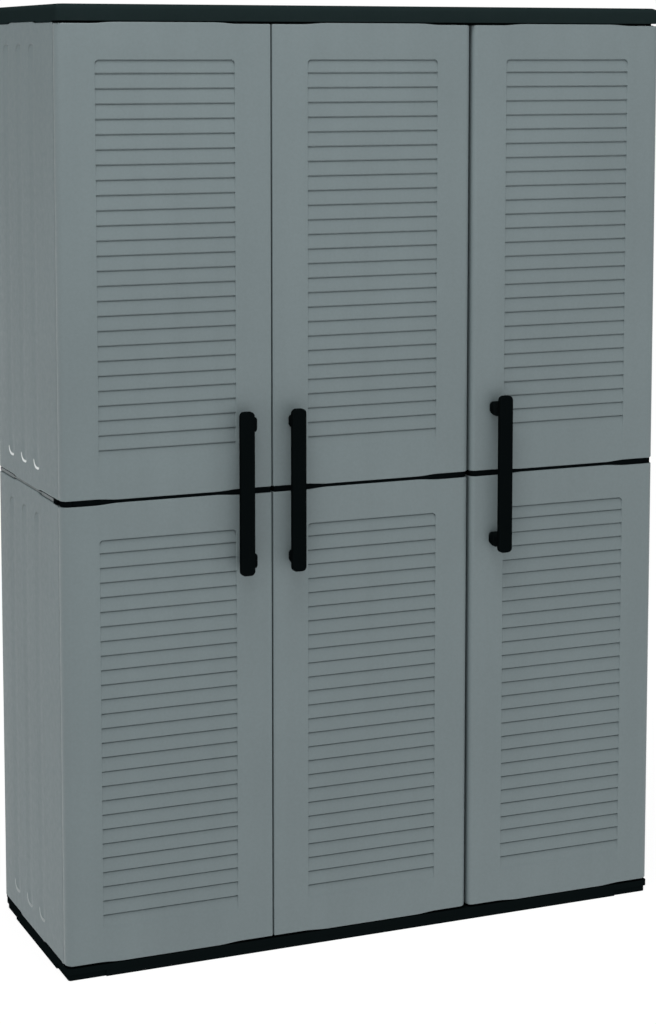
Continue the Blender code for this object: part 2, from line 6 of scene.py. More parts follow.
import bmesh
import bpy
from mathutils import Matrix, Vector


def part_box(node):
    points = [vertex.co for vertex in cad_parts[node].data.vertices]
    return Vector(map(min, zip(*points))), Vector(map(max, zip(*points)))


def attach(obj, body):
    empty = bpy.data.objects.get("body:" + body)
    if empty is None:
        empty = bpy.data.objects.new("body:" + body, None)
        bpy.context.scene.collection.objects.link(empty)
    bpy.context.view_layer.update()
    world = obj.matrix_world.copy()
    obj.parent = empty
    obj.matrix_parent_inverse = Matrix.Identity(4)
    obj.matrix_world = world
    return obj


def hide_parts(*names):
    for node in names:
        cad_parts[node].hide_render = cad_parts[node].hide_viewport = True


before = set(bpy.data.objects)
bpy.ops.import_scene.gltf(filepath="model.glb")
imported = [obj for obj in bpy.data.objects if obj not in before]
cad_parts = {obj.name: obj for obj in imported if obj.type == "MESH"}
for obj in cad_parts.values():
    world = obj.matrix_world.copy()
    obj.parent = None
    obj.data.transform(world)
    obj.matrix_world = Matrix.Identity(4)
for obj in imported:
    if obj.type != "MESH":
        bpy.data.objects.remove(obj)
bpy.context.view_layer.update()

MM = 0.001

SMOOTH_ANGLE = 38  # degrees between faces; a sharper edge stays crisp
EDGE_R = 1.8 * MM  # rounding of a panel's top and bottom edges
WELD = 0.01 * MM  # points of a CAD mesh nearer than this are joined
GRID_CLOSEST = 0.04 * MM  # grid lines nearer than this count as one

# Thicknesses and clearances
SKIN = 2.6 * MM
WEB = 2.0 * MM
FIT = 0.3 * MM

# The doors: which side each one's hinge is on, and how round its free edge is
DOORS = {
    "door_left": {"hinge": "left", "free_radius": 2.0 * MM},
    "door_middle": {"hinge": "right", "free_radius": 2.0 * MM},
    "door_right": {"hinge": "right", "free_radius": 9.0 * MM},
}
HINGE_FRONT_R = 12 * MM
DOOR_BACK_R = 1.2 * MM  # rounding of the free edge at the back
HINGE_DRAW = 9 * MM  # how far from the hinge edge the rounding of the ends draws the door in
FREE_DRAW = 4 * MM  # and how far from the free edge
PIVOT_IN = 14 * MM
BARREL_R = 14.83 * MM  # the reach of a door's hinge edge from its axis

# The louvres: a field of slats, each with a slit below its lip
LOUVRES = 27
LOUVRE_SIDE = 61 * MM
LOUVRE_TOP = 58 * MM
LOUVRE_PITCH = 23.55 * MM
LOUVRE_FIRST = 20.5 * MM
LOUVRE_LAST = 21.6 * MM
LOUVRE_DEEP = 3.7 * MM
LOUVRE_SLIT = 2.2 * MM
LOUVRE_STEP = 2.1 * MM
LOUVRE_LIP = 0.3 * MM
LOUVRE_CORNER = 7 * MM

# Stations of the louvres' profile: how far each is above or below its place, and how deep
FIELD_TOP = ((1.0 * MM, 0.0), (0.3 * MM, 0.08 * MM), (0.0, 0.5 * MM))
FIELD_FOOT = ((3 * MM, 0.6 * MM), (0.6 * MM, 0.3 * MM), (-0.6 * MM, 0.0))
BELOW_LIP = ((0.2 * MM, LOUVRE_DEEP - 0.2 * MM), (0.6 * MM, LOUVRE_DEEP))
BELOW_SLIT = (
    (-0.5 * MM, LOUVRE_DEEP),
    (0.0, LOUVRE_STEP + 0.7 * MM),
    (0.25 * MM, LOUVRE_STEP + 0.15 * MM),
)
ABOVE_LIP = (
    (0.5 * MM, LOUVRE_LIP + 0.1 * MM),
    (0.15 * MM, LOUVRE_LIP + 0.3 * MM),
    (0.0, LOUVRE_LIP + 0.7 * MM),
)
SLAT_START = 0.8 * MM  # where the plain slope of a slat starts below its slit
SLAT_END = (1.4 * MM, 1.2 * MM)  # where it ends above its lip, and the run of slope left there
SLAT_HOLLOW = 0.1 * MM

# How the louvres' depth grows in from the sides of the field, how far beyond it the skin stays thick and
# the slats' round corners fade, and the grid's stations there
FIELD_SIDE = ((0.0, 0.0), (0.15 * MM, 0.2), (0.6 * MM, 0.9), (1.1 * MM, 1.0))
FIELD_MARGIN = 1 * MM
FIELD_FADE = (0.5 * MM, 9 * MM)
FIELD_GRID = (-9, -0.4, 0, 0.15, 0.6, 1.1, 1.9, 3.0, 4.4, 6.0, 7.2, 11)

# The pockets in a door's back: their rows, and how far they stay from the split and from the other end
POCKET_ROWS = 5
POCKET_COLUMNS = 2  # behind the louvres, with one more at each side
POCKET_SPLIT = 9 * MM
POCKET_END = 30 * MM
POCKET_DRAFT = 0.7 * MM
POCKET_SPARE = 0.4 * MM  # added to the skin in front of a pocket

# Edge reliefs: how far a panel's edge steps back near its ends
RELIEF = 2.3 * MM
RELIEF_FADE = (3 * MM, 15 * MM)  # how far from the edge the surface still follows its relief
DOOR_RELIEF = (55 * MM, 40 * MM)  # each relief's flat stretch and its slope
WALL_RELIEF = (88 * MM, 18 * MM)

# Flutes in the outer face of the walls, and the grid's stations from their centres and ends
FLUTE_W = 38 * MM
FLUTE_DEEP = 1.8 * MM
FLUTE_END = 34 * MM
FLUTE_CORNER = 15 * MM
FLUTE_END_WALL = 2.4 * MM  # the run of a flute's steep end
FLUTE_FADE = 0.7  # the part of its depth that a flute loses away from its ends
FLUTE_FADES = (6 * MM, 45 * MM)  # where that loss starts and is complete, from each end
SIDE_FLUTES = (137 * MM, 211 * MM, 286 * MM)
BACK_FLUTES = (-80 * MM, 0.0, 80 * MM)
FLUTE_ACROSS = (0, 3, 6, 8.5, 10.5, 12, 13.3, 14.5, 15.6, 16.6, 17.5, 18.3, 19, 19.8)
FLUTE_ALONG = (-1, -0.4, 0.2, 0.8, 1.4, 2, 2.7, 3.4, 4.2, 5.1, 6.1, 7.3, 8.6, 10, 12, 15, 20, 27, 36, 50)

# A painted highlight on the rim round a flute's lower rear end, and painted shade in the corner at its
# upper rear end
RIM_WIDTH = 3.0 * MM
RIM_FADE_IN = (-0.9 * MM, 0.3 * MM)
RIM_FADE_OUT = (RIM_WIDTH - 0.9 * MM, RIM_WIDTH + 0.6 * MM)
RIM_LEAN = (0.6, 0.8)  # the rearward and the upward or downward share of the way it faces
# how far round a flute's end the painted highlight and the painted shade reach
HIGHLIGHT_ARC = (0.2, 0.6)
SHADE_ARC = (0.5, 0.9)
# how strong the painted highlight is on each half of a wall
PAINTED_HIGHLIGHT_STRENGTH = {"upper": 1.0, "lower": 0.30}

# Handles: each post's stations, as a share of its reach and how far its sides and ends draw in
BAR_CORNER = 7.5 * MM
BAR_EDGE_R = 2.2 * MM
BAR_BACK = 0.6  # how round the bar's back edge is, as a share of its front edge
POST_CORNER = 5 * MM
POST_STATIONS = (
    (0.0, 0.0, 0.0),
    (0.25, 0.0, 0.2 * MM),
    (0.94, 1.0 * MM, 2.6 * MM),
    (1.0, 1.5 * MM, 3.1 * MM),
)

# The lid, and the ribbed block below it
CAP_EDGE_R = 9 * MM
CAP_CORNER = 6 * MM
CAP_BLOCK_FRONT = 29 * MM
CAP_RIM = 6 * MM
CAP_POCKETS = (9, 3)
CAP_SEAT = ((0.8 * MM, 0.0), (0.2 * MM, 0.25 * MM), (0.0, 0.9 * MM))  # inset and height round its foot
CAP_SHORT = 2 * MM  # how far the lid's lugs stop short of the slopes of a wall's relief
SOCKET_R = 5.6 * MM
SOCKET_DEEP = 12 * MM

# Walls and back
WALL_T = 26 * MM
WALL_FRONT_R = 1 * MM
WALL_REAR_R = 2 * MM
WALL_INNER_R = 1 * MM
BACK_T = 12.5 * MM
BACK_EDGE_R = 1.5 * MM
LEDGE_W = 8 * MM
LEDGE_H = 10 * MM
LEDGE_IN = 10 * MM
NOTCH = (18 * MM, 5 * MM)  # length and half height of the notch that a hinge arm fills
BEHIND_DOOR = 1.2 * MM  # the gap between a door's back and the wall's front edge
LIP_REACH = 9 * MM  # how far a side wall's front lip reaches round the door's hinge edge
LIP_R = 15.1 * MM
LIP_T = 0.35 * MM
LIP_STEPS = 11


# Small maths


def ramp(value, low, high):
    """0 up to low, 1 from high, and smooth between them."""
    t = min(1.0, max(0.0, (value - low) / (high - low)))
    return t * t * (3 - 2 * t)


def corner_drop(distance, radius):
    """How far a round corner has dropped at this distance from its edge."""
    if distance >= radius:
        return 0.0
    left = radius - max(distance, 0.0)
    return radius - math.sqrt(max(radius * radius - left * left, 0.0))


def barrel_drop(distance):
    """How far the back of a door has dropped towards its round hinge edge."""
    if distance >= PIVOT_IN:
        return 0.0
    left = PIVOT_IN - max(distance, 0.0)
    return max(PIVOT_IN - math.sqrt(BARREL_R * BARREL_R - left * left), 0.0)


def eased(radius, steps):
    """Distances from an edge that follow an arc of this radius evenly."""
    return [radius * (1 - math.cos(math.pi / 2 * i / steps)) for i in range(steps + 1)]


def mirrored(values, width):
    """The values from one edge, and the same from the other."""
    return sorted(set(values) | {width - v for v in values})


def tidy(values):
    """The values in order, without any that nearly repeat the one before."""
    kept = []
    for value in sorted(values):
        if not kept or value - kept[-1] > GRID_CLOSEST:
            kept.append(value)
    return kept


def relief_at(u, width, sizes):
    """How far a panel's edge steps back here, from its relief's flat stretch and slope."""
    if not sizes:
        return 0.0
    flat, slope = sizes
    near_end = min(u, width - u)
    return RELIEF * (1 - ramp(near_end, flat, flat + slope))


def end_weight(distance):
    """How much of an edge's relief a level at this distance from the edge follows."""
    return 1 - ramp(distance, *RELIEF_FADE)


# Meshes


def mesh_object(name, points, faces, smooth_angle=SMOOTH_ANGLE):
    """An object with these faces, facing outwards and shaded smoothly."""
    mesh = bpy.data.meshes.new(name)
    mesh.from_pydata([tuple(p) for p in points], [], faces)
    shape = bmesh.new()
    shape.from_mesh(mesh)
    bmesh.ops.recalc_face_normals(shape, faces=shape.faces)
    shape.to_mesh(mesh)
    shape.free()
    mesh.shade_smooth()
    mesh.set_sharp_from_angle(angle=math.radians(smooth_angle))
    made = bpy.data.objects.new(name, mesh)
    bpy.context.scene.collection.objects.link(made)
    return made


def slab(name, across, levels, shape, place):
    """A closed slab from a grid. shape(u, z) gives u, z, the near depth and the far depth."""
    points, faces = [], []
    count = len(across)
    for z in levels:
        row = [shape(u, z) for u in across]
        points += [place(u, near, height) for u, height, near, far in row]
        points += [place(u, far, height) for u, height, near, far in row]
    for j in range(len(levels) - 1):
        a, b = j * 2 * count, (j + 1) * 2 * count
        for k in range(count - 1):
            faces.append((a + k, a + k + 1, b + k + 1, b + k))
            far_a, far_b = a + count + k, b + count + k
            faces.append((far_a, far_b, far_b + 1, far_a + 1))
        for k in (0, count - 1):
            faces.append((a + k, b + k, b + count + k, a + count + k))
    for a in (0, (len(levels) - 1) * 2 * count):
        faces += [(a + k, a + k + 1, a + count + k + 1, a + count + k) for k in range(count - 1)]
    return mesh_object(name, points, faces)


def loft(name, rings, smooth_angle=SMOOTH_ANGLE):
    """A closed skin through rings of equal counts, flat at both ends."""
    count = len(rings[0])
    points = [p for ring in rings for p in ring]
    faces = [tuple(range(count)), tuple(range((len(rings) - 1) * count, len(rings) * count))]
    for j in range(len(rings) - 1):
        for k in range(count):
            after = (k + 1) % count
            a, b = j * count, (j + 1) * count
            faces.append((a + k, a + after, b + after, b + k))
    return mesh_object(name, points, faces, smooth_angle)


def rounded(x, y, radius, steps=8):
    """A rectangle with round corners, from two pairs of limits."""
    radius = max(radius, 0.01 * MM)
    corners = ((x[1], y[1], 0), (x[0], y[1], 90), (x[0], y[0], 180), (x[1], y[0], 270))
    outline = []
    for corner_x, corner_y, start in corners:
        centre_x = corner_x - radius if start in (0, 270) else corner_x + radius
        centre_y = corner_y - radius if start in (0, 90) else corner_y + radius
        for i in range(steps + 1):
            angle = math.radians(start + 90 * i / steps)
            outline.append((centre_x + radius * math.cos(angle), centre_y + radius * math.sin(angle)))
    return outline


def box_points(x, y, z):
    """A box between three pairs of limits."""
    points = [(a, b, c) for c in z for b in y for a in x]
    faces = [(0, 1, 3, 2), (4, 6, 7, 5), (0, 4, 5, 1), (2, 3, 7, 6), (0, 2, 6, 4), (1, 5, 7, 3)]
    return points, faces


def rod_points(centre, radius, low, high, sides=24):
    """An upright rod."""
    turns = [2 * math.pi * i / sides for i in range(sides)]
    ring = [(centre[0] + radius * math.cos(t), centre[1] + radius * math.sin(t)) for t in turns]
    points = [(x, y, z) for z in (low, high) for x, y in ring]
    faces = [tuple(range(sides)), tuple(range(sides, 2 * sides))]
    faces += [(i, (i + 1) % sides, sides + (i + 1) % sides, sides + i) for i in range(sides)]
    return points, faces


def carve(piece, operation, solids):
    """Joins solids to a piece, or cuts them from it, for good."""
    points, faces = [], []
    for more_points, more_faces in solids:
        faces += [tuple(i + len(points) for i in face) for face in more_faces]
        points += more_points
    tool = mesh_object(piece.name + "_tool", points, faces)
    change = piece.modifiers.new("carve", "BOOLEAN")
    change.operation = operation
    change.solver = "EXACT"
    change.object = tool
    change.use_self = True
    shapes = bpy.context.evaluated_depsgraph_get()
    result = bpy.data.meshes.new_from_object(piece.evaluated_get(shapes))
    piece.modifiers.clear()
    piece.data = result
    bpy.data.objects.remove(tool)
    result.set_sharp_from_angle(angle=math.radians(SMOOTH_ANGLE))


# Doors


def louvre_profile(top):
    """Height and depth down the louvres: each slat leans out to a lip, with a slit below it."""
    points = [(top + up, depth) for up, depth in FIELD_TOP]
    level = top
    for i in range(LOUVRES):
        drop = {0: LOUVRE_FIRST, LOUVRES - 1: LOUVRE_LAST}.get(i, LOUVRE_PITCH)
        slope = (LOUVRE_STEP - LOUVRE_LIP) / (drop - LOUVRE_SLIT)
        points += [(level - down, depth) for down, depth in BELOW_LIP]
        points += [(level - LOUVRE_SLIT - down, depth) for down, depth in BELOW_SLIT]
        points.append((level - LOUVRE_SLIT - SLAT_START, LOUVRE_STEP - SLAT_START * slope))
        middle = drop * 0.5
        points.append((level - middle, LOUVRE_LIP + middle * slope - SLAT_HOLLOW))
        level -= drop
        if i == LOUVRES - 1:
            points += [(level + up, depth) for up, depth in FIELD_FOOT]
        else:
            points.append((level + SLAT_END[0], LOUVRE_LIP + SLAT_END[1] * slope))
            points += [(level + up, depth) for up, depth in ABOVE_LIP]
    return points[::-1]


def reader(points):
    """A function that reads a value between points in rising order."""
    keys = [p[0] for p in points]

    def read(key):
        if key <= keys[0] or key >= keys[-1]:
            return points[0][1] if key <= keys[0] else points[-1][1]
        i = bisect(keys, key)
        (a, low), (b, high) = points[i - 1], points[i]
        return low + (high - low) * (key - a) / (b - a)

    return read


def split_evenly(low, high, count, web):
    """The limits of this many equal spans, with webs between them."""
    size = (high - low - web * (count - 1)) / count
    return [(low + i * (size + web), low + i * (size + web) + size) for i in range(count)]


def pocket_share(value, spans):
    """1 inside a pocket, 0 on a rib, and sloping over the draft of the wall."""
    for low, high in spans:
        if low < value < high:
            return min(1.0, min(value - low, high - value) / POCKET_DRAFT)
    return 0.0


def door_panel(name, node, plan):
    """Half a door: louvres and round edges in front, and ribbed pockets behind."""
    low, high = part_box(node)
    width, thick = high.x - low.x, high.y - low.y
    hinge_x, way = (low.x, 1) if plan["hinge"] == "left" else (high.x, -1)
    free_r = plan["free_radius"]
    split_at_top = node.endswith("lower")
    field = (LOUVRE_SIDE, width - LOUVRE_SIDE)
    profile = louvre_profile(high.z - LOUVRE_TOP)
    first_low = high.z - LOUVRE_TOP - LOUVRE_FIRST
    louvre_at = reader(profile)
    field_share = reader(FIELD_SIDE)

    columns = [(PIVOT_IN + 2 * MM, LOUVRE_SIDE - WEB)]
    columns += split_evenly(*field, POCKET_COLUMNS, WEB)
    columns += [(width - LOUVRE_SIDE + WEB, width - SKIN)]
    below, above = (POCKET_END, POCKET_SPLIT) if split_at_top else (POCKET_SPLIT, POCKET_END)
    rows = split_evenly(low.z + below, high.z - above, POCKET_ROWS, WEB)

    across = eased(PIVOT_IN, 9) + [width - v for v in eased(free_r, 6)]
    across += [HINGE_FRONT_R, 30 * MM, width - DOOR_BACK_R, width - 0.5 * MM, width * 0.5]
    across += mirrored([LOUVRE_SIDE + v * MM for v in FIELD_GRID], width)
    for start, end in columns:
        across += [start, start + POCKET_DRAFT, end - POCKET_DRAFT, end]
    across += mirrored([DOOR_RELIEF[0] + DOOR_RELIEF[1] * v for v in (0.2, 0.4, 0.6, 0.8, 1)], width)
    across = tidy(v for v in across if 0 <= v <= width)

    rises = eased(EDGE_R, 5) + [3 * MM, 6 * MM, 9 * MM, 12 * MM, 15 * MM]
    levels = [low.z + v for v in rises] + [high.z - v for v in rises]
    levels += [z for z, depth in profile]
    for start, end in rows:
        levels += [start, start + POCKET_DRAFT, end - POCKET_DRAFT, end]
    levels = tidy(levels)

    def shape(u, z):
        from_end = min(z - low.z, high.z - z)
        ease = corner_drop(from_end, EDGE_R)
        near = corner_drop(u, HINGE_FRONT_R) + corner_drop(width - u, free_r)
        far = thick - barrel_drop(u) - corner_drop(width - u, DOOR_BACK_R)
        inside = min(u - field[0], field[1] - u)
        depth = louvre_at(z) * field_share(inside)
        pocket = pocket_share(u, columns) * pocket_share(z, rows)
        in_field = field[0] - FIELD_MARGIN < u < field[1] + FIELD_MARGIN
        skin = SKIN + (LOUVRE_DEEP if in_field else 0.0)
        near, far = near + ease + depth, far - ease
        far -= pocket * (thick - skin - POCKET_SPARE)
        if near > far:
            near = far = (near + far) / 2
        height = z
        if first_low < z < high.z - LOUVRE_TOP + FIELD_MARGIN:
            share = min(1.0, (z - first_low) / LOUVRE_FIRST)
            outside = ramp(-inside, *FIELD_FADE)
            height -= corner_drop(inside, LOUVRE_CORNER) * share * (1 - outside)
        sign = 1 if z > (low.z + high.z) / 2 else -1
        height -= sign * relief_at(u, width, DOOR_RELIEF) * end_weight(from_end)
        moved = u + ease * (1 - ramp(u, 0, HINGE_DRAW)) - ease * (1 - ramp(width - u, 0, FREE_DRAW))
        return moved, height, near, far

    def place(u, depth, z):
        return Vector((hinge_x + way * u, low.y + depth, z))

    return slab(name, across, levels, shape, place)


# Walls


def flute_edge(w, z, centre, low, high):
    """How far inside a flute's round-ended outline a point is, and the way the nearest edge faces."""
    half_w, half_l = FLUTE_W / 2, (high - low) / 2 - FLUTE_END
    side, rise = w - centre, z - (low + high) / 2
    a = abs(side) - (half_w - FLUTE_CORNER)
    b = abs(rise) - (half_l - FLUTE_CORNER)
    if a > 0 and b > 0:
        reach = math.hypot(a, b)
        facing = (a / reach, b / reach)
    else:
        reach = max(a, b)
        facing = (1.0, 0.0) if a > b else (0.0, 1.0)
    return FLUTE_CORNER - reach, math.copysign(facing[0], side), math.copysign(facing[1], rise)


def flute_depth(w, z, centre, low, high):
    """The depth of a long flute: it has gentle sides and steep ends, and its middle is shallow."""
    inside = flute_edge(w, z, centre, low, high)[0]
    if inside <= 0:
        return 0.0
    from_end = min(z - low, high - z) - FLUTE_END
    across = ramp(FLUTE_W / 2 - abs(w - centre), 0, FLUTE_W / 2)
    fade = ramp(from_end, *FLUTE_FADES)
    return FLUTE_DEEP * (1 - FLUTE_FADE * fade) * across * ramp(inside, 0, FLUTE_END_WALL)


def flute_painted_light(w, z, centre, low, high):
    """1 for the painted highlight on the rim round a flute's lower rear end, -1 for the painted shade in
    its upper rear corner, 0 elsewhere.
    """
    inside, side, rise = flute_edge(w, z, centre, low, high)
    on_rim = ramp(inside, *RIM_FADE_IN) * (1 - ramp(inside, *RIM_FADE_OUT))
    lean = side * RIM_LEAN[0] + abs(rise) * RIM_LEAN[1]
    return on_rim * ramp(lean, *HIGHLIGHT_ARC) if rise < 0 else -on_rim * ramp(lean, *SHADE_ARC)


def fluted_panel(name, node, along, outward, thick, flutes, front_r, relief=None, lip=0.0):
    """A wall panel with long flutes in its outer face, soft edges and perhaps a thin front lip."""
    low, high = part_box(node)
    start, end = (low.y, high.y) if along == "Y" else (low.x, high.x)
    width = end - start
    faces = (low.x, high.x) if along == "Y" else (low.y, high.y)
    outer = faces[1] if outward > 0 else faces[0]
    centres = [f - start for f in flutes]

    across = mirrored(eased(front_r, 5) + eased(WALL_REAR_R, 4), width)
    across += [c + s * v * MM for c in centres for v in FLUTE_ACROSS for s in (-1, 1)]
    slopes = [relief[0] + relief[1] * v for v in (0, 0.25, 0.5, 0.75, 1)] if relief else []
    across = tidy(v for v in across + mirrored(slopes, width) if 0 <= v <= width)
    if lip:
        widest = math.acos((PIVOT_IN + BEHIND_DOOR - lip) / LIP_R)
        turns = [widest * (1 - i / LIP_STEPS) for i in range(LIP_STEPS + 1)]
        across = [LIP_R * math.cos(t) - PIVOT_IN - BEHIND_DOOR for t in turns] + across
    rises = eased(EDGE_R, 5) + [3 * MM, 7 * MM, 11 * MM, 15 * MM]
    rises += [FLUTE_END + v * MM for v in FLUTE_ALONG]
    levels = tidy([low.z + v for v in rises] + [high.z - v for v in rises])

    def shape(w, z):
        from_end = min(z - low.z, high.z - z)
        ease = corner_drop(from_end, EDGE_R)
        near = corner_drop(width - w, WALL_REAR_R) + (0.0 if lip else corner_drop(w, front_r)) + ease
        near += sum(flute_depth(w, z, c, low.z, high.z) for c in centres)
        far = thick - (0.0 if lip else corner_drop(w, WALL_INNER_R)) - corner_drop(width - w, WALL_INNER_R)
        far -= ease
        if w < 0:
            behind_axis = PIVOT_IN + BEHIND_DOOR + w
            far = PIVOT_IN - math.sqrt(max(LIP_R * LIP_R - behind_axis * behind_axis, 0.0))
            near, far = min(ease, 0.1 * MM), max(far, LIP_T)
        sign = 1 if z > (low.z + high.z) / 2 else -1
        height = z - sign * relief_at(w, width, relief) * end_weight(from_end)
        return w, height, near, far

    def place(w, depth, z):
        across_at, deep = start + w, outer - outward * depth
        return Vector((deep, across_at, z) if along == "Y" else (across_at, deep, z))

    return slab(name, across, levels, shape, place)


def mark_painted_light(piece, node, flutes, highlight_strength):
    """Stores where a side wall's flutes get a painted highlight on a rim or painted shade in a corner, for
    its material.
    """
    low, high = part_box(node)
    marks = piece.data.attributes.new("painted_light", "FLOAT", "POINT")
    for vertex, mark in zip(piece.data.vertices, marks.data):
        x, y, z = vertex.co
        if max(abs(low.x), abs(high.x)) - abs(x) < FLUTE_DEEP + MM:
            painted_light = sum(flute_painted_light(y, z, f, low.z, high.z) for f in flutes)
            mark.value = painted_light * highlight_strength if painted_light > 0 else painted_light


# Looks

PANEL_GREY = (0.183, 0.2245, 0.2335)
JOINT_GREY = (0.118, 0.142, 0.147)
CAP_BLACK = (0.0128, 0.0215, 0.0220)
BASE_BLACK = (0.0038, 0.0062, 0.0066)
HANDLE_BLACK = (0.0026, 0.0040, 0.0043)
FITTING_BLACK = (0.0024, 0.0037, 0.0042)
GREY_WORN = (0.42, 0.46, 0.47)
DARK_WORN = (0.030, 0.036, 0.038)
# the painted highlight at the flutes' lower rear ends, and the painted shade in their upper rear corners
PAINTED_HIGHLIGHT_COLOUR = (0.93, 0.95, 0.95, 1.0)
PAINTED_SHADE_COLOUR = (0.05, 0.06, 0.062, 1.0)
PAINTED_SHADE_MOST = 0.34  # the most that the painted shade in a flute's corner covers


class Shader:
    """A short way to write a node tree."""

    def __init__(self, name):
        self.material = bpy.data.materials.new(name)
        self.material.use_nodes = True
        self.nodes = self.material.node_tree.nodes
        self.links = self.material.node_tree.links
        self.main = self.nodes["Principled BSDF"]

    def node(self, kind, inputs=None, **settings):
        made = self.nodes.new(kind)
        for key, value in settings.items():
            setattr(made, key, value)
        for key, value in (inputs or {}).items():
            if isinstance(value, bpy.types.NodeSocket):
                self.links.new(value, made.inputs[key])
            else:
                made.inputs[key].default_value = value
        return made

    def noise(self, vector, scale, detail, roughness=0.5):
        values = {"Vector": vector, "Scale": scale, "Detail": detail, "Roughness": roughness}
        return self.node("ShaderNodeTexNoise", values).outputs["Fac"]

    def spread(self, value, low, high, to_low, to_high):
        values = {"Value": value, "From Min": low, "From Max": high, "To Min": to_low, "To Max": to_high}
        return self.node("ShaderNodeMapRange", values).outputs["Result"]

    def scaled(self, vector, scale):
        values = {"Vector": vector, "Scale": scale}
        return self.node("ShaderNodeMapping", values).outputs["Vector"]

    def blend(self, factor, a, b):
        made = self.node("ShaderNodeMix", data_type="RGBA")
        for index, value in ((0, factor), (6, a), (7, b)):
            if isinstance(value, bpy.types.NodeSocket):
                self.links.new(value, made.inputs[index])
            else:
                made.inputs[index].default_value = value
        return made.outputs[2]


def plastic(name, colour, roughness, gloss=0.35, worn=GREY_WORN, wear=0.30, with_painted_light=False):
    """Moulded plastic: flow marks, mottling and a fine grain, with edges rubbed lighter by wear, and if
    asked a painted highlight and painted shade at the flutes' ends.
    """
    tree = Shader(name)
    place = tree.node("ShaderNodeTexCoord").outputs["Object"]
    cloud = tree.noise(place, 4.5, 3.0)
    flow = tree.noise(tree.scaled(place, (34.0, 34.0, 0.9)), 1.0, 2.0)
    mottle = tree.noise(place, 240.0, 2.0)
    fine = tree.noise(place, 1500.0, 2.0, 0.6)
    tone = tree.spread(cloud, 0.3, 0.7, 0.97, 1.03)
    line = tree.spread(flow, 0.3, 0.7, 0.985, 1.015)
    speck = tree.spread(mottle, 0.3, 0.7, 0.975, 1.025)
    product = tree.node("ShaderNodeMath", {0: tone, 1: line}, operation="MULTIPLY").outputs[0]
    product = tree.node("ShaderNodeMath", {0: product, 1: speck}, operation="MULTIPLY").outputs[0]
    shaded = tree.node("ShaderNodeVectorMath", {0: colour, 1: product}, operation="MULTIPLY")
    colour_out = shaded.outputs[0]
    if wear:
        pointed = tree.node("ShaderNodeNewGeometry").outputs["Pointiness"]
        rubbed = tree.spread(pointed, 0.515, 0.60, 0.0, 1.0)
        patch = tree.spread(tree.noise(place, 60.0, 3.0), 0.42, 0.68, 0.0, wear)
        amount = tree.node("ShaderNodeMath", {0: rubbed, 1: patch}, operation="MULTIPLY").outputs[0]
        colour_out = tree.blend(amount, colour_out, (*worn, 1.0))
    # painted shade in the flutes' upper rear corners, then a painted highlight round their lower rear ends
    if with_painted_light:
        painted_light = tree.node("ShaderNodeAttribute", attribute_name="painted_light").outputs["Fac"]
        colour_out = tree.blend(tree.spread(painted_light, 0.0, -1.0, 0.0, PAINTED_SHADE_MOST), colour_out, PAINTED_SHADE_COLOUR)
        colour_out = tree.blend(tree.spread(painted_light, 0.0, 1.0, 0.0, 1.0), colour_out, PAINTED_HIGHLIGHT_COLOUR)
    tree.links.new(colour_out, tree.main.inputs["Base Color"])
    rough = tree.spread(tree.noise(place, 90.0, 3.0), 0.3, 0.7, roughness - 0.05, roughness + 0.06)
    tree.links.new(rough, tree.main.inputs["Roughness"])
    texture = tree.node("ShaderNodeMath", {0: mottle, 1: fine}, operation="ADD").outputs[0]
    values = {"Height": texture, "Strength": 0.10, "Distance": 0.0004}
    bump = tree.node("ShaderNodeBump", values).outputs["Normal"]
    tree.links.new(bump, tree.main.inputs["Normal"])
    tree.main.inputs["Specular IOR Level"].default_value = gloss
    return tree.material


def zinc(name):
    """Zinc-plated steel with fine turning marks."""
    tree = Shader(name)
    place = tree.node("ShaderNodeTexCoord").outputs["Object"]
    marks = tree.noise(tree.scaled(place, (900.0, 60.0, 900.0)), 1.0, 3.0)
    blotch = tree.noise(place, 300.0, 2.0)
    tone = tree.spread(blotch, 0.3, 0.7, 0.0, 1.0)
    colour = tree.blend(tone, (0.50, 0.51, 0.53, 1), (0.62, 0.62, 0.60, 1))
    tree.links.new(colour, tree.main.inputs["Base Color"])
    tree.main.inputs["Metallic"].default_value = 1.0
    rough = tree.spread(marks, 0.3, 0.7, 0.24, 0.42)
    tree.links.new(rough, tree.main.inputs["Roughness"])
    values = {"Height": marks, "Strength": 0.15, "Distance": 0.0002}
    tree.links.new(tree.node("ShaderNodeBump", values).outputs["Normal"], tree.main.inputs["Normal"])
    return tree.material


LOOKS = {
    "panel_grey": plastic("panel_plastic", PANEL_GREY, 0.47),
    # the walls' look also carries the painted highlights and painted shade at their flutes' ends
    "wall_grey_painted_light": plastic("wall_plastic_painted_light", PANEL_GREY, 0.47, 0.12, wear=0.0, with_painted_light=True),
    "back_grey": plastic("back_plastic", PANEL_GREY, 0.47, 0.12, wear=0.0),
    "shelf_grey": plastic("shelf_plastic", PANEL_GREY, 0.50, wear=0.0),
    "joint_grey": plastic("joint_plastic", JOINT_GREY, 0.50, wear=0.0),
    "cap_black": plastic("cap_plastic", CAP_BLACK, 0.42, 0.0, worn=DARK_WORN),
    "base_black": plastic("base_plastic", BASE_BLACK, 0.50, 0.0, wear=0.0),
    "handle_black": plastic("handle_plastic", HANDLE_BLACK, 0.55, 0.0, worn=DARK_WORN, wear=0.1),
    "fitting_black": plastic("fitting_plastic", FITTING_BLACK, 0.52, 0.0, wear=0.0),
    "screw_steel": zinc("zinc_steel"),
}


def finish_piece(piece, node, body, slot, look=None):
    """Gives a made piece its look and its body, and hides the CAD node that it stands for."""
    piece.data.materials.clear()
    piece.data.materials.append(LOOKS[look or slot])
    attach(piece, body)
    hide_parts(node)


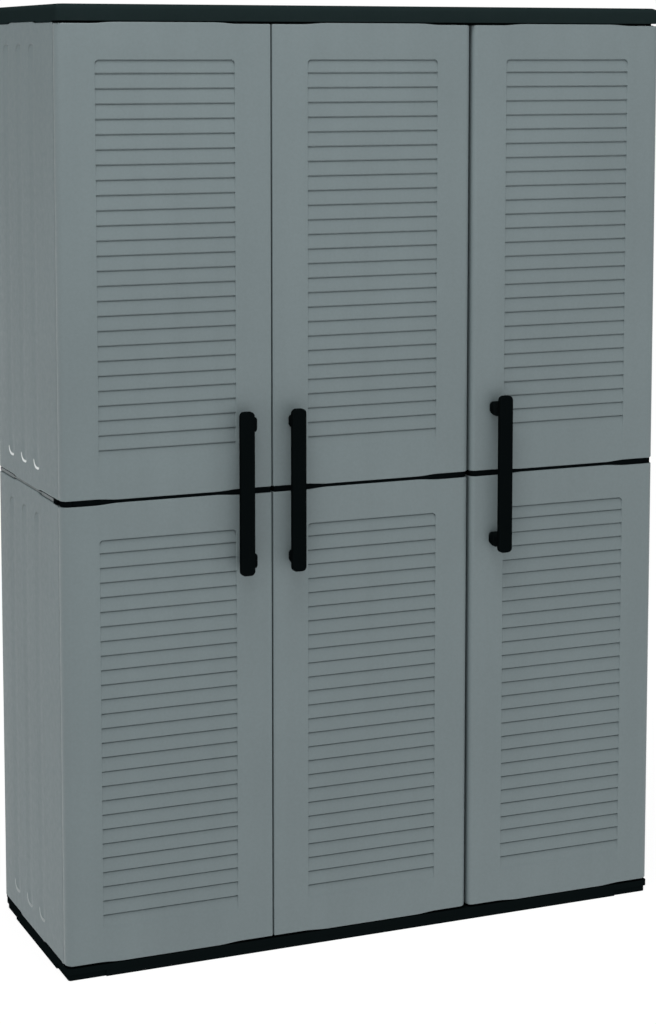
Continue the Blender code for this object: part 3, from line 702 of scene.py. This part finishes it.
def dress_node(node, slot, edge):
    """Keeps a CAD node's shape, with softened edges and its own look."""
    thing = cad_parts[node]
    thing.data.materials.clear()
    thing.data.materials.append(LOOKS[slot])
    weld = thing.modifiers.new("weld", "WELD")
    weld.merge_threshold = WELD
    flat = thing.modifiers.new("flat", "DECIMATE")
    flat.decimate_type = "DISSOLVE"
    flat.angle_limit = math.radians(1)
    soft = thing.modifiers.new("soft", "BEVEL")
    soft.width = edge
    soft.segments = 2
    soft.limit_method = "ANGLE"
    soft.angle_limit = math.radians(35)
    soft.harden_normals = True


# Pieces


def make_doors():
    """Each door's panels and handle, and its rail, pivots and screws from the CAD."""
    for door, plan in DOORS.items():
        for half in ("lower", "upper"):
            node = f"{door}_panel_{half}"
            finish_piece(door_panel(f"{door}_{half}_shell", node, plan), node, door, "panel_grey")
        make_handle(door)
        dress_node(f"{door}_split_rail", "fitting_black", 0.4 * MM)
        for place in ("bottom", "middle", "top"):
            dress_node(f"{door}_pivot_{place}", "fitting_black", 0.4 * MM)
        for place in ("lower", "upper"):
            dress_node(f"{door}_handle_screw_{place}", "screw_steel", 0.2 * MM)


def make_handle(door):
    """A flat bar with round corners and soft edges, on two posts that narrow towards the door."""
    low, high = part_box(f"{door}_handle_bar")
    turns = [math.pi / 2 * i / 5 for i in range(6)]
    front = [(BAR_EDGE_R * (1 - math.cos(t)), BAR_EDGE_R * (1 - math.sin(t))) for t in turns]
    stations = [(inset, low.y + rise) for inset, rise in front[::-1]]
    stations += [(inset * BAR_BACK, high.y - rise * BAR_BACK) for inset, rise in front]
    rings = []
    for inset, y in stations:
        plan = rounded((low.x + inset, high.x - inset), (low.z + inset, high.z - inset), BAR_CORNER - inset)
        rings.append([(x, y, z) for x, z in plan])
    finish_piece(loft(f"{door}_grip", rings), f"{door}_handle_bar", door, "handle_black")
    for half in ("lower", "upper"):
        node = f"{door}_handle_post_{half}"
        low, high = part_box(node)
        reach = high.y - low.y
        rings = []
        for share, side, end in POST_STATIONS:
            y = low.y + reach * share
            plan = rounded((low.x + side, high.x - side), (low.z + end, high.z - end), POST_CORNER, 2)
            rings.append([(x, y, z) for x, z in plan])
        finish_piece(loft(f"{door}_{half}_post", rings, 40), node, door, "handle_black")


def ledges(face, inward, node, shelves):
    """The rails inside a wall that its shelves rest on."""
    wall_low, wall_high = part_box(node)
    rails = []
    for shelf in shelves:
        low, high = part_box(shelf)
        top = low.z - FIT
        if wall_low.z < top < wall_high.z:
            x = sorted((face - inward * MM, face + inward * LEDGE_W))
            y = (low.y + LEDGE_IN, high.y - LEDGE_IN)
            rails.append(box_points(x, y, (top - LEDGE_H, top)))
    return rails


def make_side_walls():
    """The four side walls, with their shelf ledges and the notches for the hinge arms."""
    shelves = {"left": ("shelf_wide_1", "shelf_wide_2", "shelf_wide_3"), "right": ("shelf_hat",)}
    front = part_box("door_left_panel_lower")[0].y
    split = (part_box("door_left_panel_lower")[1].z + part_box("door_left_panel_upper")[0].z) / 2
    flutes = [front + f for f in SIDE_FLUTES]
    for side, outward in (("left", -1), ("right", 1)):
        for half in ("lower", "upper"):
            node = f"side_panel_{side}_{half}"
            low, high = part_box(node)
            outer = high.x if outward > 0 else low.x
            inner = outer - outward * WALL_T
            name = f"{side}_{half}_wall"
            made = fluted_panel(
                name, node, "Y", outward, WALL_T, flutes, WALL_FRONT_R, WALL_RELIEF, LIP_REACH
            )
            rails = ledges(inner, -outward, node, shelves[side])
            if rails:
                carve(made, "UNION", rails)
            notch_x = sorted((inner - outward * MM, outer + outward * MM))
            notch_y = (low.y - LIP_REACH - MM, low.y + NOTCH[0])
            carve(made, "DIFFERENCE", [box_points(notch_x, notch_y, (split - NOTCH[1], split + NOTCH[1]))])
            # marks the painted highlight and painted shade at the flutes' ends
            mark_painted_light(made, node, flutes, PAINTED_HIGHLIGHT_STRENGTH[half])
            finish_piece(made, node, "cabinet", "panel_grey", "wall_grey_painted_light")


def make_back():
    """The back's six fluted panels."""
    for column in ("left", "middle", "right"):
        for half in ("lower", "upper"):
            node = f"back_panel_{column}_{half}"
            low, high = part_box(node)
            flutes = [(low.x + high.x) / 2 + f for f in BACK_FLUTES]
            made = fluted_panel(f"{column}_{half}_back", node, "X", 1, BACK_T, flutes, BACK_EDGE_R)
            finish_piece(made, node, "cabinet", "panel_grey", "back_grey")


def make_cap():
    """The lid: a round-edged slab, with the ribbed block that hangs between the walls."""
    low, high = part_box("top_cap")
    wall_low, wall_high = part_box("side_panel_left_upper")
    under = wall_high.z + FIT
    rings = []
    stations = [(inset, under + rise) for inset, rise in CAP_SEAT]
    for i in range(11):
        angle = math.pi / 2 * i / 10
        inset = CAP_EDGE_R * (1 - math.cos(angle))
        stations.append((inset, high.z - CAP_EDGE_R + CAP_EDGE_R * math.sin(angle)))
    for inset, z in stations:
        x, y = (low.x + inset, high.x - inset), (low.y + inset, high.y - inset)
        rings.append([(*point, z) for point in rounded(x, y, CAP_CORNER + inset * 0.4)])
    made = loft("lid", rings)

    side = high.x - WALL_T - FIT
    y = (low.y + CAP_BLOCK_FRONT, high.y - BACK_T - FIT)
    solids = [box_points((-side, side), y, (low.z, under + MM))]
    flat = WALL_RELIEF[0] - CAP_SHORT
    spans = ((wall_low.y + FIT, wall_low.y + flat), (wall_high.y - flat, wall_high.y - MM))
    for x in ((-high.x + MM, MM - side), (side - MM, high.x - MM)):
        solids += [box_points(x, span, (under - RELIEF, under + MM)) for span in spans]
    carve(made, "UNION", solids)

    across = split_evenly(CAP_RIM - side, side - CAP_RIM, CAP_POCKETS[0], 2 * WEB)
    deep = split_evenly(y[0] + CAP_RIM, y[1] - CAP_RIM, CAP_POCKETS[1], 2 * WEB)
    top = high.z - CAP_EDGE_R
    pockets = [box_points(a, b, (low.z - MM, top)) for a in across for b in deep]
    for door, plan in DOORS.items():
        door_low, door_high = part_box(f"{door}_panel_upper")
        axis_x = door_low.x + PIVOT_IN if plan["hinge"] == "left" else door_high.x - PIVOT_IN
        axis = (axis_x, door_low.y + PIVOT_IN)
        pockets.append(rod_points(axis, SOCKET_R, under - MM, under + SOCKET_DEEP))
    carve(made, "DIFFERENCE", pockets)
    finish_piece(made, "top_cap", "cabinet", "cap_black")


def keep_nodes():
    """The CAD nodes whose shape is right, with softened edges."""
    dress_node("base_tray", "base_black", 0.6 * MM)
    for joiner in ("side_joiner_left", "side_joiner_right", "partition_joiner", "back_joiner"):
        dress_node(joiner, "joint_grey", 0.2 * MM)
    for half in ("lower", "upper"):
        dress_node(f"partition_{half}", "shelf_grey", 0.4 * MM)
    dress_node("back_strip", "shelf_grey", 0.6 * MM)
    for door in ("left", "middle", "right"):
        dress_node(f"hinge_arm_{door}", "fitting_black", 0.4 * MM)
    for shelf in ("shelf_wide_1", "shelf_wide_2", "shelf_wide_3", "shelf_hat"):
        dress_node(shelf, "shelf_grey", 0.5 * MM)


# Studio

CAMERA_AT = (-1.5725, -3.6768, 1.4707)
CAMERA_YAW = 23.031
CAMERA_PITCH = -6.079
CAMERA_LENS = 83.12
CAMERA_SHIFT = -0.2

# Each light's place, what it faces, its size and its power in watts
LIGHTS = {
    "key": ((-1.9, -1.9, 2.9), (-0.3, 0, 1.3), (1.4, 1.4), 8),
    "top": ((-0.6, -0.9, 3.9), (-0.1, -0.1, 0.6), (1.6, 1.2), 54),
    "front": ((0.2, -3.6, 3.4), (0, 0, 0.9), (2.4, 1.6), 5),
    "right": ((2.6, -1.6, 1.8), (0.2, -0.1, 0.9), (1.2, 1.8), 4),
}
SKY_COLOUR = (0.96, 1.0, 0.995, 1)
SKY_STRENGTH = 0.36
FLOOR_R = 40
FLOOR_T = 0.02
FLOOR_GLOW = 0.93


def make_camera():
    camera = bpy.data.cameras.new("camera")
    camera.lens = CAMERA_LENS
    camera.sensor_width = 36
    camera.shift_y = CAMERA_SHIFT
    holder = bpy.data.objects.new("camera", camera)
    holder.location = CAMERA_AT
    holder.rotation_euler = (math.radians(90 + CAMERA_PITCH), 0, math.radians(-CAMERA_YAW))
    bpy.context.scene.collection.objects.link(holder)
    bpy.context.scene.camera = holder


def make_lights():
    for name, (at, towards, size, power) in LIGHTS.items():
        light = bpy.data.lights.new(name, "AREA")
        light.shape = "RECTANGLE"
        light.size, light.size_y = size
        light.energy = power
        lamp = bpy.data.objects.new(name, light)
        lamp.location = at
        lamp.rotation_euler = (Vector(towards) - Vector(at)).to_track_quat("-Z", "Y").to_euler()
        bpy.context.scene.collection.objects.link(lamp)


def make_world():
    """A dim sky that lights the part, and a white backdrop that only the camera sees."""
    world = bpy.data.worlds.new("studio")
    bpy.context.scene.world = world
    world.use_nodes = True
    nodes, links = world.node_tree.nodes, world.node_tree.links
    sky = nodes["Background"]
    sky.inputs["Color"].default_value = SKY_COLOUR
    sky.inputs["Strength"].default_value = SKY_STRENGTH
    backdrop = nodes.new("ShaderNodeBackground")
    backdrop.inputs["Color"].default_value = (1, 1, 1, 1)
    backdrop.inputs["Strength"].default_value = 1.0
    path = nodes.new("ShaderNodeLightPath")
    mix = nodes.new("ShaderNodeMixShader")
    links.new(path.outputs["Is Camera Ray"], mix.inputs[0])
    links.new(sky.outputs[0], mix.inputs[1])
    links.new(backdrop.outputs[0], mix.inputs[2])
    links.new(mix.outputs[0], nodes["World Output"].inputs["Surface"])


def make_floor():
    """A wide round floor that glows nearly white, so that only a faint shadow shows on it."""
    turns = [math.radians(a) for a in range(0, 360, 6)]
    ring = [(FLOOR_R * math.cos(t), FLOOR_R * math.sin(t), 0.0) for t in turns]
    lower = [(x, y, -FLOOR_T) for x, y, z in ring]
    floor = loft("floor", [lower, ring], 60)
    tree = Shader("floor_paint")
    place = tree.node("ShaderNodeTexCoord").outputs["Object"]
    tone = tree.spread(tree.noise(place, 1.3, 3.0), 0.3, 0.7, 0.0, 1.0)
    colour = tree.blend(tone, (0.11, 0.11, 0.11, 1), (0.13, 0.13, 0.13, 1))
    tree.links.new(colour, tree.main.inputs["Base Color"])
    tree.main.inputs["Roughness"].default_value = 0.9
    tree.main.inputs["Emission Color"].default_value = (1, 1, 1, 1)
    tree.main.inputs["Emission Strength"].default_value = FLOOR_GLOW
    floor.data.materials.append(tree.material)


make_doors()
make_side_walls()
make_back()
make_cap()
keep_nodes()
make_camera()
make_lights()
make_world()
make_floor()
bpy.context.scene.view_settings.view_transform = "Standard"
